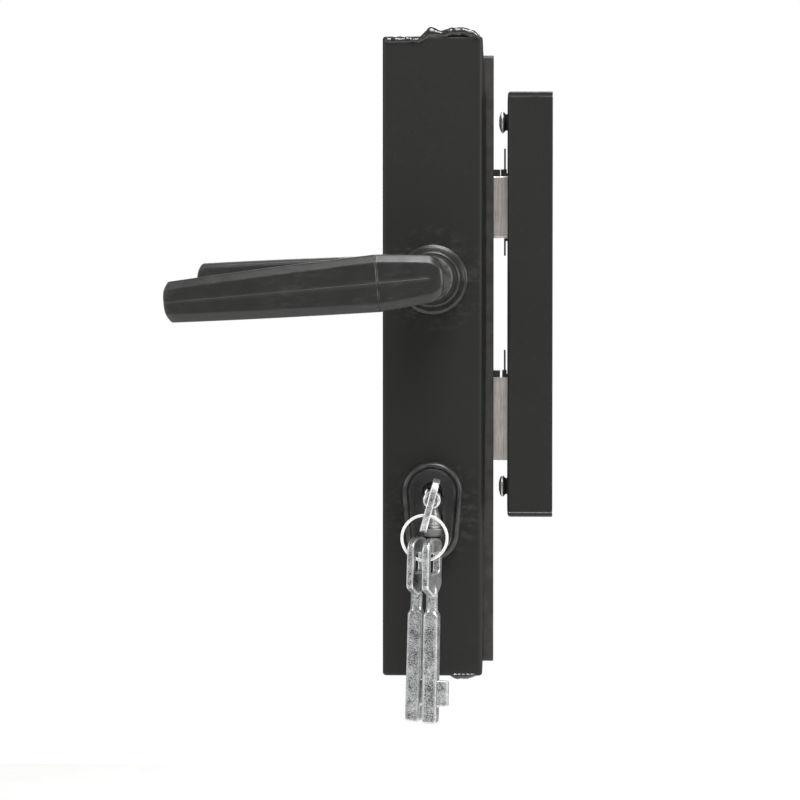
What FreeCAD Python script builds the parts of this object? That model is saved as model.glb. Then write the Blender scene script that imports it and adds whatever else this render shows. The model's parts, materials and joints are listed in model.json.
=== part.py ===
import FreeCAD, Part
import math
import os
import re

import Sketcher
from FreeCAD import Placement, Rotation, Vector

# Weld-in lock set for a narrow gate stile: a square lock box with a lever handle on each side, a sprung
# latch, a keyed dead bolt, the keep that stands on the gate post, and a ring of three keys.
# Frame: +X points from the gate stile to the post, +Y through the gate, +Z up. The origin is the centre
# of the lock box's bottom face. All sizes are in millimetres.

DIMENSIONS = {
    # lock box: a piece of square tube closed by two welded caps
    "box_side": 40, "box_wall": 2, "box_height": 256, "box_radius": 2, "cap_thick": 2,
    "bead_radius": 2.2, "bead_rise": 3.4,
    # axes of the lever and of the key, both at X = 0
    "lever_height": 159, "lock_height": 71.5,
    # mortise case
    "case_thick": 15, "case_wall": 1.5, "case_depth": 36.5, "case_bottom": 50, "case_height": 162,
    "slot_play": 1,
    # forend strip
    "forend_thick": 4.4, "forend_width": 24, "forend_length": 244, "forend_bottom": 5,
    "forend_screw_inset": 9, "screw_radius": 2.5, "screw_head": 4.6, "screw_play": 0.05,
    # bolts
    "bolt_thick": 11, "bolt_throw": 12, "bolt_play": 0.3,
    "latch_bottom": 176, "latch_height": 24.8, "latch_head": 24.4, "latch_tail": 13,
    "dead_bottom": 86, "dead_height": 33.6, "dead_head": 20.4, "guide_thick": 2.6,
    "tail_thick": 3, "tail_bottom": 4.8, "talon_width": 5.6, "talon_depth": 2.9, "talon_centre": 10.6,
    # follower and its springs
    "follower_radius": 7.5, "follower_arm": 20.8, "follower_tail": 17, "arm_width": 5, "arm_thick": 6,
    "arm_lean": 15, "wire_radius": 0.4, "spring_radius": 2.4,
    # lever handles
    "spindle_side": 8, "spindle_play": 0.1, "neck_radius": 8.6, "neck_start": 2, "grip_offset": 47,
    "grip_reach": 102.5, "grip_waist": 21, "heel_reach": 5.2, "heel_height": 17, "waist_height": 22.4,
    "tip_height": 15.8, "heel_depth": 15, "waist_depth": 16, "tip_depth": 13, "grip_edge": 3.5,
    "front_droop": 5.2, "rear_droop": 0.2,
    # rosettes with their bearing bushes
    "rosette_radius": 14, "rosette_rim": 1.8, "rosette_height": 10.5, "rosette_nose": 10.6,
    "bush_radius": 9.6, "bush_height": 11.6, "bearing_play": 0.08,
    # escutcheons
    "plate_height": 74, "plate_radius": 12, "plate_foot": 10.6, "plate_drop": 16.6, "plate_thick": 6,
    "dish_depth": 3.6, "rim_width": 1.6, "slot_half": 4.2, "slot_drop": 20,
    # keys and ring
    "bow_width": 20.8, "bow_length": 19.6, "bow_thick": 2.8, "bow_shift": -1, "bow_hole": 13.8,
    "bow_hole_top": 5.8, "bow_hole_length": 8, "neck_thin": 2.3, "neck_end": 28.2, "barrel_start": 30.3,
    "barrel_radius": 3.4, "key_length": 72.5, "bit_reach": 7.1, "bit_thick": 2.4, "bit_top": 55.6,
    "bit_bottom": 65.8, "key_stand": 41.5, "key_tilt": 15, "ring_radius": 8.8, "ring_wire": 0.6,
    "ring_drop": 13.5, "ring_aside": -2.4, "ring_stand": 32, "spare_turn": 13.5, "spare_rise": 13.6,
    "left_aside": -5, "right_aside": 0.9, "left_back": 6.5, "left_lean": 1.5, "right_lean": 0.8,
    # keep on the gate post
    "keep_gap": 5.6, "keep_depth": 12.5, "keep_flange": 5.5, "keep_wall": 2, "keep_front": 20,
    "keep_back": 16, "keep_bottom": 64, "keep_height": 170, "keep_screw_inset": 11.2,
    "pan_radius": 4.3, "pan_height": 1.7, "washer_radius": 4.6, "washer_height": 1.8,
}

doc = FreeCAD.newDocument("gate_lock")
NODES = []


def load_sheet():
    """Puts every driving dimension into the spreadsheet under its alias."""
    sheet = doc.addObject("Spreadsheet::Sheet", "dims")
    for row, (alias, value) in enumerate(DIMENSIONS.items(), start=1):
        sheet.set(f"A{row}", alias)
        sheet.set(f"B{row}", str(value))
        sheet.setAlias(f"B{row}", alias)
    doc.recompute()
    return sheet


sheet = load_sheet()
ALIASES = re.compile(r"\b(" + "|".join(sorted(DIMENSIONS, key=len, reverse=True)) + r")\b")


def cells(formula):
    """Turns a formula in aliases into an expression on the sheet's cells."""
    return ALIASES.sub(r"dims.\1", str(formula))


def value(formula):
    """The number that a formula in aliases stands for."""
    return float(sheet.evalExpression(cells(formula).replace("dims.", "")))


def bind(item, **formulas):
    for prop, formula in formulas.items():
        item.setExpression(prop, cells(formula))
    return item


def place(item, at, axis=None, angle=0):
    """Moves an object to a point given by three formulas, turned about an axis by a formula."""
    if axis is not None:
        item.Placement = Placement(Vector(), Rotation(axis, value(angle)))
        item.setExpression("Placement.Rotation.Angle", cells(angle))
    for letter, formula in zip("xyz", at):
        item.setExpression(f"Placement.Base.{letter}", cells(formula))
    return item


def node(item, label):
    """Registers a finished piece under the name of its file."""
    item.Label = label
    NODES.append(item)
    return item


# ---- primitives and booleans --------------------------------------------------------------------------

X_AXIS = Vector(1, 0, 0)
Y_AXIS = Vector(0, 1, 0)
Z_AXIS = Vector(0, 0, 1)
TURN_TO = {"x": (Y_AXIS, 90), "y": (X_AXIS, -90), "z": (Z_AXIS, 0)}


def box(name, corner, size):
    item = doc.addObject("Part::Box", name)
    bind(item, Length=size[0], Width=size[1], Height=size[2])
    return place(item, corner)


def cylinder(name, centre, radius, length, along):
    """A cylinder that starts at centre and runs along +x, +y or +z."""
    item = doc.addObject("Part::Cylinder", name)
    bind(item, Radius=radius, Height=length)
    return place(item, centre, *TURN_TO[along])


def cone(name, centre, radius_start, radius_end, length, along):
    item = doc.addObject("Part::Cone", name)
    bind(item, Radius1=radius_start, Radius2=radius_end, Height=length)
    return place(item, centre, *TURN_TO[along])


def fuse(name, items):
    item = doc.addObject("Part::MultiFuse", name)
    item.Shapes = items
    item.Refine = True
    return item


def cut(name, base, tools):
    item = doc.addObject("Part::Cut", name)
    item.Base = base
    item.Tool = tools[0] if len(tools) == 1 else fuse(name + "_tools", tools)
    return item


def group(name, items):
    """Several separate solids that share one node."""
    item = doc.addObject("Part::Compound", name)
    item.Links = items
    return item


# ---- sketches and bodies ------------------------------------------------------------------------------

def new_body(name):
    return doc.addObject("PartDesign::Body", name)


def new_sketch(body, name, plane, offset="0"):
    """A sketch on one of the body's origin planes, moved along the plane's normal."""
    sketch = body.newObject("Sketcher::SketchObject", name)
    support = next(item for item in body.Origin.OriginFeatures if item.Role == plane)
    sketch.AttachmentSupport = [(support, "")]
    sketch.MapMode = "FlatFace"
    sketch.setExpression("AttachmentOffset.Base.z", cells(offset))
    return sketch


def pin_point(sketch, geometry, point, x, y):
    """Binds a sketch point's two coordinates to formulas."""
    for kind, formula in (("DistanceX", x), ("DistanceY", y)):
        index = sketch.addConstraint(Sketcher.Constraint(kind, geometry, point, value(formula)))
        sketch.setExpression(f"Constraints[{index}]", cells(formula))


def draw_polygon(sketch, corners):
    points = [Vector(value(x), value(y), 0) for x, y in corners]
    first = sketch.GeometryCount
    for start, end in zip(points, points[1:] + points[:1]):
        sketch.addGeometry(Part.LineSegment(start, end), False)
    for index, (x, y) in enumerate(corners):
        before = first + (index - 1) % len(corners)
        sketch.addConstraint(Sketcher.Constraint("Coincident", before, 2, first + index, 1))
        pin_point(sketch, first + index, 1, x, y)


def draw_rectangle(sketch, left, bottom, right, top):
    draw_polygon(sketch, [(left, bottom), (right, bottom), (right, top), (left, top)])


def draw_circle(sketch, x, y, radius):
    centre = Vector(value(x), value(y), 0)
    index = sketch.addGeometry(Part.Circle(centre, Z_AXIS, value(radius)), False)
    pin_point(sketch, index, 3, x, y)
    constraint = sketch.addConstraint(Sketcher.Constraint("Radius", index, value(radius)))
    sketch.setExpression(f"Constraints[{constraint}]", cells(radius))


def draw_slot(sketch, top, bottom, top_radius, bottom_radius):
    """A rounded slot about x = 0: an arc about each height, joined by their common tangents."""
    high, low = value(top), value(bottom)
    wide, narrow = value(top_radius), value(bottom_radius)
    lean = math.asin((wide - narrow) / (high - low))
    ends = []
    for height, radius, start, stop in ((high, wide, -lean, math.pi + lean),
                                        (low, narrow, math.pi + lean, 2 * math.pi - lean)):
        circle = Part.Circle(Vector(0, height, 0), Z_AXIS, radius)
        index = sketch.addGeometry(Part.ArcOfCircle(circle, start, stop), False)
        point = [Vector(radius * math.cos(turn), height + radius * math.sin(turn), 0) for turn in (start, stop)]
        ends.append((index, point))
    (upper, upper_ends), (lower, lower_ends) = ends
    left = sketch.addGeometry(Part.LineSegment(upper_ends[1], lower_ends[0]), False)
    right = sketch.addGeometry(Part.LineSegment(lower_ends[1], upper_ends[0]), False)
    for pair in ((upper, 2, left, 1), (left, 2, lower, 1), (lower, 2, right, 1), (right, 2, upper, 1)):
        sketch.addConstraint(Sketcher.Constraint("Tangent", *pair))
    for index, height, radius in ((upper, top, top_radius), (lower, bottom, bottom_radius)):
        pin_point(sketch, index, 3, "0", height)
        constraint = sketch.addConstraint(Sketcher.Constraint("Radius", index, value(radius)))
        sketch.setExpression(f"Constraints[{constraint}]", cells(radius))


def pad(body, sketch, length, backwards=False):
    feature = body.newObject("PartDesign::Pad", sketch.Name + "_pad")
    feature.Profile = sketch
    feature.Reversed = backwards
    return bind(feature, Length=length)


def pocket(body, sketch, length, backwards=False):
    """A pocket that must take material away."""
    doc.recompute()
    before = body.Shape.Volume
    feature = body.newObject("PartDesign::Pocket", sketch.Name + "_pocket")
    feature.Profile = sketch
    feature.Reversed = backwards
    bind(feature, Length=length)
    doc.recompute()
    if body.Shape.Volume > before - 0.1:
        raise ValueError(f"{sketch.Name} cuts nothing")
    return feature


def revolve(body, sketch, axis="V_Axis"):
    feature = body.newObject("PartDesign::Revolution", sketch.Name + "_turned")
    feature.Profile = sketch
    feature.ReferenceAxis = (sketch, [axis])
    feature.Angle = 360
    return feature


def round_edges(body, base, radius, chosen):
    """Fillets the base feature's edges for which chosen(edge) is true."""
    doc.recompute()
    names = [f"Edge{number}" for number, edge in enumerate(base.Shape.Edges, start=1) if chosen(edge)]
    feature = body.newObject("PartDesign::Fillet", base.Name + "_rounded")
    feature.Base = (base, names)
    return bind(feature, Radius=radius)


def runs_along(edge, direction):
    """True for a straight edge in the given direction."""
    if edge.Curve.TypeId != "Part::GeomLine":
        return False
    return abs(abs(edge.Curve.Direction.dot(direction)) - 1) < 1e-6


# ---- lock box -----------------------------------------------------------------------------------------

def make_lock_box():
    """Square tube with openings for the case, the lever's follower and the key."""
    body = new_body("tube")
    profile = new_sketch(body, "tube_section", "XY_Plane", "cap_thick")
    outer, inner = "box_side / 2", "box_side / 2 - box_wall"
    draw_rectangle(profile, "-" + outer, "-" + outer, outer, outer)
    draw_rectangle(profile, f"-({inner})", f"-({inner})", inner, inner)
    blank = pad(body, profile, "box_height - 2 * cap_thick")
    reach = value(outer)
    round_edges(body, blank, "box_radius", lambda edge: runs_along(edge, Z_AXIS) and
                abs(edge.CenterOfMass.x) > reach - 0.01 and abs(edge.CenterOfMass.y) > reach - 0.01)
    half_slot = "(case_thick / 2 + slot_play)"
    tools = [
        box("case_slot", ("box_side / 2 - box_wall - 1", f"-{half_slot}", "case_bottom - slot_play"),
            ("box_wall + 2", f"2 * {half_slot}", "case_height + 2 * slot_play")),
        cylinder("lever_hole", ("0", "-box_side", "lever_height"), "follower_radius + 2", "2 * box_side", "y"),
        cylinder("key_hole_top", ("0", "-box_side", "lock_height"), "slot_half + 0.6", "2 * box_side", "y"),
        box("key_hole_foot", ("-slot_half - 0.6", "-box_side", "lock_height - slot_drop"),
            ("2 * slot_half + 1.2", "2 * box_side", "slot_drop")),
    ]
    for index, height in enumerate(forend_screw_heights()):
        tools.append(cylinder(f"tapped_hole_{index}", ("box_side / 2 - box_wall - 1", "0", height),
                              "screw_radius + screw_play", "box_wall + 2", "x"))
    node(cut("lock_box_cut", body, tools), "lock_box")


def make_cap(name, bottom):
    """Welded end plate with rounded corners and a softened outer rim."""
    body = new_body(name + "_body")
    profile = new_sketch(body, name + "_outline", "XY_Plane", bottom)
    outer = "box_side / 2"
    draw_rectangle(profile, "-" + outer, "-" + outer, outer, outer)
    blank = pad(body, profile, "cap_thick")
    corners = round_edges(body, blank, "box_radius", lambda edge: runs_along(edge, Z_AXIS))
    outward = value(bottom) + (value("cap_thick") if value(bottom) > 0 else 0)
    round_edges(body, corners, "cap_thick * 0.6", lambda edge: abs(edge.CenterOfMass.z - outward) < 0.01)
    node(body, name)


def make_bead(name, points, cap):
    """A weld bead: a round bar along a curve, trimmed where it meets the cap."""
    spine = Part.BSplineCurve()
    spine.interpolate([Vector(*[value(part) for part in point]) for point in points])
    path = Part.Wire([spine.toShape()])
    radius = value("bead_radius")
    start = spine.value(spine.FirstParameter)
    direction = spine.tangent(spine.FirstParameter)[0]
    ring = Part.Wire([Part.makeCircle(radius, start, direction)])
    bar = path.makePipeShell([ring], True, False)
    item = doc.addObject("Part::Feature", name + "_bar")
    item.Shape = bar
    node(cut(name + "_trimmed", item, [cap]), name)


def make_beads():
    """Weld along the top cap's front edge and round the stile's foot, and a short one below."""
    front = "-box_side / 2 + bead_radius + 0.3"
    crest = "box_height - bead_radius"
    top = [("-box_side / 2 + 2", front, f"{crest} + bead_rise * 0.7"),
           ("-box_side / 4", front, f"{crest} + bead_rise * 0.64"),
           ("0", front, f"{crest} + bead_rise * 1.12"),
           ("box_side / 5", front, f"{crest} + bead_rise * 1.18"),
           ("box_side / 2 - 2", front, f"{crest} + bead_rise * 1.06")]
    low = [("box_side / 6", front, "-bead_radius * 0.1"),
           ("box_side / 3", front, "-bead_radius * 0.25"),
           ("box_side / 2 - 2", front, "-bead_radius * 0.15")]
    for name, points, height in (("top_weld_bead", top, "box_height - 2 * box_side"),
                                 ("bottom_weld_bead", low, "0")):
        room = box(name + "_room", ("-box_side / 2", "-box_side / 2", height),
                   ("box_side", "box_side", "2 * box_side"))
        make_bead(name, points, room)


# ---- case, forend and their screws ----------------------------------------------------------------------

def forend_screw_heights():
    return ("forend_bottom + forend_screw_inset", "forend_bottom + forend_length - forend_screw_inset")


def bolt_windows(name, left, length, margin="bolt_play"):
    """One block through the wall for each of the latch and the dead bolt."""
    half = f"(bolt_thick / 2 + {margin})"
    return [box(f"{name}_{kind}", (left, f"-{half}", f"{kind}_bottom - {margin}"),
                (length, f"2 * {half}", f"{kind}_height + 2 * {margin}")) for kind in ("latch", "dead")]


def key_path(name, start, length):
    """The hole for a key's barrel with the groove that its bit passes through."""
    return [
        cylinder(name + "_barrel", ("0", start, "lock_height"), "barrel_radius + 0.3", length, "y"),
        box(name + "_bit", ("-bit_thick / 2 - 0.3", start, "lock_height - bit_reach - 0.4"),
            ("bit_thick + 0.6", length, "bit_reach")),
    ]


CASE_LEFT = "(box_side / 2 - case_depth)"
CASE_TOP = "(case_bottom + case_height)"
PILLARS = (("case_depth * 0.12", "case_height * 0.05"), ("case_depth * 0.8", "case_height * 0.05"),
           ("case_depth * 0.12", "case_height * 0.95"), ("case_depth * 0.8", "case_height * 0.95"))


def pillar_places():
    return [(f"{CASE_LEFT} + {x}", f"case_bottom + {z}") for x, z in PILLARS]


def make_case():
    """Pressed steel tray, open to the front, with pillars for its cover and a pivot for the levers."""
    body = new_body("tray")
    outline = new_sketch(body, "tray_outline", "XZ_Plane", "-case_thick / 2")
    draw_rectangle(outline, CASE_LEFT, "case_bottom", "box_side / 2", CASE_TOP)
    blank = pad(body, outline, "case_thick - case_wall")
    round_edges(body, blank, "case_wall * 0.8", lambda edge: runs_along(edge, Y_AXIS) and
                edge.CenterOfMass.x < 0)
    inside = new_sketch(body, "tray_inside", "XZ_Plane", "case_thick / 2 - case_wall")
    draw_rectangle(inside, f"{CASE_LEFT} + case_wall", "case_bottom + case_wall",
                   "box_side / 2 - case_wall", f"{CASE_TOP} - case_wall")
    pocket(body, inside, "case_thick - 2 * case_wall")
    holes = bolt_windows("tray_window", "box_side / 2 - case_wall - 1", "case_wall + 2")
    holes += key_path("tray_key", "case_thick / 2 - case_wall - 1", "case_wall + 2")
    holes.append(cylinder("tray_follower", ("0", "0", "lever_height"), "follower_radius + screw_play",
                          "case_thick", "y"))
    posts = []
    for index, (x, z) in enumerate(pillar_places()):
        posts.append(cylinder(f"pillar_{index}", (x, "case_wall - case_thick / 2", z), "2.6",
                              "case_thick - 1.5 * case_wall", "y"))
        holes.append(cylinder(f"pillar_thread_{index}", (x, "-case_thick / 2", z), "1.5 + screw_play",
                              "case_thick / 2", "y"))
    posts.append(cylinder("lever_pivot", (TUMBLER_PIVOT[0], "-1.6", TUMBLER_PIVOT[1]), "2",
                          "case_thick / 2 - case_wall + 2", "y"))
    node(cut("tray_cut", fuse("tray_with_posts", [body] + posts), holes), "case_tray")


def make_case_cover():
    body = new_body("cover")
    outline = new_sketch(body, "cover_outline", "XZ_Plane", "case_thick / 2 - case_wall")
    draw_rectangle(outline, CASE_LEFT, "case_bottom", "box_side / 2", CASE_TOP)
    draw_circle(outline, "0", "lever_height", "follower_radius + screw_play")
    for x, z in pillar_places():
        draw_circle(outline, x, z, "1.6")
    pad(body, outline, "case_wall")
    node(cut("cover_cut", body, key_path("cover_key", "-case_thick / 2 - 1", "case_wall + 2")), "case_cover")


def make_case_screws():
    screws = []
    for index, (x, z) in enumerate(pillar_places()):
        head = cylinder(f"case_head_{index}", (x, "-case_thick / 2 - 1.2", z), "2.6", "1.2", "y")
        shank = cylinder(f"case_shank_{index}", (x, "-case_thick / 2 - 0.1", z), "1.5", "6", "y")
        slot = box(f"case_driver_{index}", (f"{x} - 2.7", "-case_thick / 2 - 1.3", f"{z} - 0.3"),
                   ("5.4", "0.6", "0.6"))
        screws.append(cut(f"case_screw_{index}", fuse(f"case_screw_blank_{index}", [head, shank]), [slot]))
    node(group("case_screw_set", screws), "case_screws")


def make_forend():
    """Flat strip that carries the case in the stile, with the openings for both bolts."""
    body = new_body("strip")
    outline = new_sketch(body, "strip_outline", "YZ_Plane", "box_side / 2")
    draw_rectangle(outline, "-forend_width / 2", "forend_bottom", "forend_width / 2",
                   "forend_bottom + forend_length")
    blank = pad(body, outline, "forend_thick")
    round_edges(body, blank, "1.5", lambda edge: runs_along(edge, X_AXIS))
    holes = bolt_windows("strip_window", "box_side / 2 - 1", "forend_thick + 2")
    for kind in ("latch", "dead"):
        holes.append(box(f"strip_guide_{kind}", ("box_side / 2 - 1", "-bolt_thick / 2 - bolt_play",
                                                 f"{kind}_bottom + {kind}_height"),
                         ("forend_thick + 2", "bolt_thick + 2 * bolt_play", "bolt_play + guide_thick")))
    for index, height in enumerate(forend_screw_heights()):
        holes.append(cylinder(f"strip_hole_{index}", ("box_side / 2 - 1", "0", height),
                              "screw_radius + screw_play", "forend_thick + 2", "x"))
        holes.append(cone(f"strip_sink_{index}", ("box_side / 2 + forend_thick - screw_head + screw_radius", "0",
                                                  height),
                          "screw_radius + screw_play", "screw_head + screw_play", "screw_head - screw_radius + 0.01",
                          "x"))
    node(cut("strip_cut", body, holes), "forend")


def make_forend_screws():
    screws = []
    for index, height in enumerate(forend_screw_heights()):
        face = "box_side / 2 + forend_thick"
        head = cone(f"strip_head_{index}", (f"{face} - screw_head + screw_radius", "0", height),
                    "screw_radius", "screw_head", "screw_head - screw_radius", "x")
        shank = cylinder(f"strip_shank_{index}", (f"{face} - 10", "0", height), "screw_radius", "9", "x")
        slots = [box(f"strip_driver_{index}_{turn}", (f"{face} - 1.2", y, z), ("2", wide, tall))
                 for turn, (y, z, wide, tall) in enumerate((
                     ("-2.4", f"{height} - 0.4", "4.8", "0.8"), ("-0.4", f"{height} - 2.4", "0.8", "4.8")))]
        screws.append(cut(f"strip_screw_{index}", fuse(f"strip_screw_blank_{index}", [head, shank]), slots))
    node(group("strip_screw_set", screws), "forend_screws")


def make_bolt_guide(name, kind):
    """Plastic guide above a bolt, standing a little proud of the forend."""
    low = f"{kind}_bottom + {kind}_height + bolt_play / 2"
    item = box(name + "_block", ("box_side / 2 + 0.05", "-bolt_thick / 2", low),
               ("forend_thick + guide_thick", "bolt_thick", "guide_thick"))
    node(item, name)


# ---- bolts, follower and tumbler levers -----------------------------------------------------------------

TUMBLER_PIVOT = ("-11", "98")
FACE = "(box_side / 2 + forend_thick)"


def make_latch():
    """Latch bolt: bevelled head, flat tail and the lug that the follower's arm pushes."""
    body = new_body("latch_head_body")
    plan = new_sketch(body, "latch_plan", "XY_Plane", "latch_bottom")
    half = "bolt_thick / 2"
    tip = f"{FACE} + bolt_throw"
    draw_polygon(plan, [(f"{tip} - latch_head", f"-{half}"), (f"{tip} - 1", f"-{half}"), (tip, f"-{half} + 1"),
                        (f"{tip} - bolt_throw * 0.8", half), (f"{tip} - latch_head", half)])
    pad(body, plan, "latch_height")
    back = f"({tip} - latch_head)"
    tail = box("latch_tail_plate", (f"{back} - latch_tail", "-tail_thick / 2", "latch_bottom + 7"),
               ("latch_tail + 1", "tail_thick", "9"))
    lug = box("latch_lug", (f"{back} - latch_tail", "-tail_thick / 2", "latch_bottom + 1.5"),
              ("3", "tail_thick", "6.5"))
    node(fuse("latch_fused", [body, tail, lug]), "latch_bolt")


def make_dead_bolt():
    """Dead bolt: square head, and a tail plate with the talon that the key's bit drives."""
    body = new_body("dead_head_body")
    side = new_sketch(body, "dead_side", "XZ_Plane", "-bolt_thick / 2")
    tip = f"{FACE} + bolt_throw"
    draw_rectangle(side, f"{tip} - dead_head", "dead_bottom", tip, "dead_bottom + dead_height")
    blank = pad(body, side, "bolt_thick")
    round_edges(body, blank, "0.5", lambda edge: runs_along(edge, Z_AXIS) and
                edge.CenterOfMass.x > value(tip) - 0.01)
    low = "lock_height + tail_bottom"
    front = "-case_thick / 2 + case_wall + 0.4"
    plate = box("dead_tail", ("2.5", front, low), (f"{tip} - dead_head - 1.5", "tail_thick",
                                                    "dead_bottom + dead_height - 5 - lock_height - tail_bottom"))
    talon = box("dead_talon", ("talon_centre - talon_width / 2", "-case_thick", f"{low} - 1"),
                ("talon_width", "2 * case_thick", "talon_depth + 1"))
    node(cut("dead_cut", fuse("dead_fused", [body, plate]), [talon]), "dead_bolt")


def make_tumblers():
    """Three spring-loaded lever plates on one pivot, above the key's path."""
    plates = []
    for index in range(3):
        front = f"-1.5 + {index} * 2.1"
        blank = box(f"tumbler_blank_{index}", ("-14", front, "lock_height + bit_reach + 0.6"),
                    ("17", "1.8", f"{TUMBLER_PIVOT[1]} + 5 - lock_height - bit_reach"))
        bore = cylinder(f"tumbler_bore_{index}", (TUMBLER_PIVOT[0], "-3", TUMBLER_PIVOT[1]), "2.05", "12", "y")
        gate = box(f"tumbler_gate_{index}", ("-6", "-3", "lock_height + bit_reach + 9.5"), ("10", "12", "5"))
        plates.append(cut(f"tumbler_{index}", blank, [bore, gate]))
    node(group("tumbler_pack", plates), "tumbler_levers")


def make_follower():
    """Hub on the square spindle, with an arm for the latch and a tail for the return spring."""
    hub = cylinder("follower_hub", ("0", "-case_thick / 2", "lever_height"), "follower_radius",
                   "case_thick", "y")
    arm = box("follower_arm_bar", ("0", "0", "lever_height"), ("arm_width", "arm_thick", "follower_arm"))
    lean = math.radians(value("arm_lean"))
    arm.Placement = Placement(Vector(), Rotation(Y_AXIS, value("arm_lean")))
    half = value("arm_width") / 2
    place(arm, (f"{-half * math.cos(lean)}", "-arm_thick / 2", f"lever_height + {half * math.sin(lean)}"))
    tail = box("follower_tail_bar", ("-arm_width / 2 - 2", "-arm_thick / 2", "lever_height - follower_tail"),
               ("arm_width", "arm_thick", "follower_tail"))
    square = box("follower_square", ("-spindle_side / 2 - spindle_play / 2", "-case_thick",
                                     "lever_height - spindle_side / 2 - spindle_play / 2"),
                 ("spindle_side + spindle_play", "2 * case_thick", "spindle_side + spindle_play"))
    node(cut("follower_cut", fuse("follower_fused", [hub, arm, tail]), [square]), "follower")


def make_spring(name, start, length, turns, along):
    """Compression spring: round wire on a helix."""
    helix = doc.addObject("Part::Helix", name + "_helix")
    bind(helix, Pitch=f"({length}) / {turns}", Height=length, Radius="spring_radius")
    wire = doc.addObject("Part::Circle", name + "_wire")
    bind(wire, Radius="wire_radius")
    place(wire, ("spring_radius", "0", "0"), X_AXIS, "90")
    sweep = doc.addObject("Part::Sweep", name + "_sweep")
    sweep.Sections = [wire]
    sweep.Spine = helix
    sweep.Solid = True
    sweep.Frenet = True
    place(sweep, start, *TURN_TO[along])
    node(sweep, name)


def make_springs():
    wall = f"{CASE_LEFT} + case_wall"
    make_spring("latch_spring", (f"{wall} + wire_radius + 0.1", "0", "latch_bottom + 20.6"),
                "24.8", 9, "x")
    make_spring("return_spring", ("arm_width / 2 - 2 + wire_radius + 0.1", "0", "lever_height - 14"),
                "16.2", 7, "x")
    make_spring("tumbler_spring", ("-3", "1.6", f"{TUMBLER_PIVOT[1]} + 5.9 + wire_radius"), "9.5", 5, "z")


# ---- levers and spindle ---------------------------------------------------------------------------------

def make_grip(name, droop):
    """Tapered hand grip along -X, built about the lever's axis at its own depth."""
    body = new_body(name)
    depth = "grip_offset + box_side / 2"
    for label, reach, tall, deep in (("heel", "heel_reach", "heel_height", "heel_depth"),
                                     ("waist", "-grip_waist", "waist_height", "waist_depth"),
                                     ("tip", "-grip_reach", "tip_height", "tip_depth")):
        section = new_sketch(body, f"{name}_{label}", "YZ_Plane", reach)
        draw_rectangle(section, f"-{deep} / 2", f"-{tall} / 2", f"{deep} / 2", f"{tall} / 2")
    sections = [item for item in body.Group if item.TypeId == "Sketcher::SketchObject"]
    loft = body.newObject("PartDesign::AdditiveLoft", name + "_loft")
    loft.Profile = sections[0]
    loft.Sections = sections[1:]
    loft.Ruled = True
    round_edges(body, loft, "grip_edge", lambda edge: True)
    side = "-" if name.startswith("front") else ""
    place(body, ("0", f"{side}({depth})", "lever_height"), Y_AXIS, f"-{droop}")
    return body


def make_lever(name, side, droop):
    """Moulded lever handle: hollow square in a round neck, with a tapered grip."""
    grip = make_grip(name + "_grip", droop)
    length = "(grip_offset - neck_start)"
    near = "(box_side / 2 + neck_start)"
    start = f"-({near} + {length})" if side < 0 else near
    neck = cylinder(name + "_neck", ("0", start, "lever_height"), "neck_radius", length, "y")
    room = "(spindle_side + spindle_play)"
    socket_start = f"-({near} + {length} - 2)" if side < 0 else f"{near} - 1"
    socket = box(name + "_socket", (f"-{room} / 2", socket_start, f"lever_height - {room} / 2"),
                 (room, f"{length} - 1", room))
    thread = cylinder(name + "_thread", ("0", f"{side} * (box_side / 2 + 18)", "lever_height - neck_radius - 1"),
                      "screw_radius + screw_play", "neck_radius", "z")
    node(cut(name + "_cut", fuse(name + "_fused", [neck, grip]), [socket, thread]), name)


def make_spindle():
    reach = "(box_side / 2 + grip_offset - 3)"
    node(box("square_bar", ("-spindle_side / 2", f"-{reach}", "lever_height - spindle_side / 2"),
             ("spindle_side", f"2 * {reach}", "spindle_side")), "spindle")


def make_grub_screws():
    screws = []
    for label, side in (("front", -1), ("rear", 1)):
        depth = f"{side} * (box_side / 2 + 18)"
        shank = cylinder(f"grub_{label}", ("0", depth, "lever_height - neck_radius + 0.4"), "screw_radius",
                         "neck_radius - 0.4 - spindle_side / 2 - 0.05", "z")
        key = cylinder(f"grub_key_{label}", ("0", depth, "lever_height - neck_radius - 1"), "1.3", "3", "z")
        screws.append(cut(f"grub_screw_{label}", shank, [key]))
    node(group("grub_screw_set", screws), "grub_screws")


# ---- rosettes and escutcheons ---------------------------------------------------------------------------

def place_on_face(body, side, height):
    """Turns a body built along +Z so that it stands on the box's front or rear face."""
    place(body, ("0", f"{side} * box_side / 2", height), X_AXIS, f"{-side} * 90")


def make_rosette(name, side):
    """Round cover rose with a flat rim, a conical wall and a rounded nose."""
    body = new_body(name + "_body")
    section = new_sketch(body, name + "_section", "XZ_Plane")
    bore = "bush_radius + 0.05"
    draw_polygon(section, [(bore, "0"), ("rosette_radius", "0"), ("rosette_radius", "rosette_rim"),
                           ("rosette_radius - 2.6", "rosette_rim + 1.1"), ("rosette_nose + 0.6", "rosette_height"),
                           (bore, "rosette_height")])
    revolve(body, section)
    place_on_face(body, side, "lever_height")
    node(body, name)


def make_bush(name, side):
    """Bearing bush in which the lever's neck turns."""
    body = new_body(name + "_body")
    section = new_sketch(body, name + "_section", "XZ_Plane")
    bore = "neck_radius + bearing_play"
    draw_polygon(section, [(bore, "0.5"), ("bush_radius", "0.5"), ("bush_radius", "bush_height - 0.4"),
                           ("bush_radius - 0.4", "bush_height"), (bore, "bush_height")])
    revolve(body, section)
    place_on_face(body, side, "lever_height")
    node(body, name)


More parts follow.
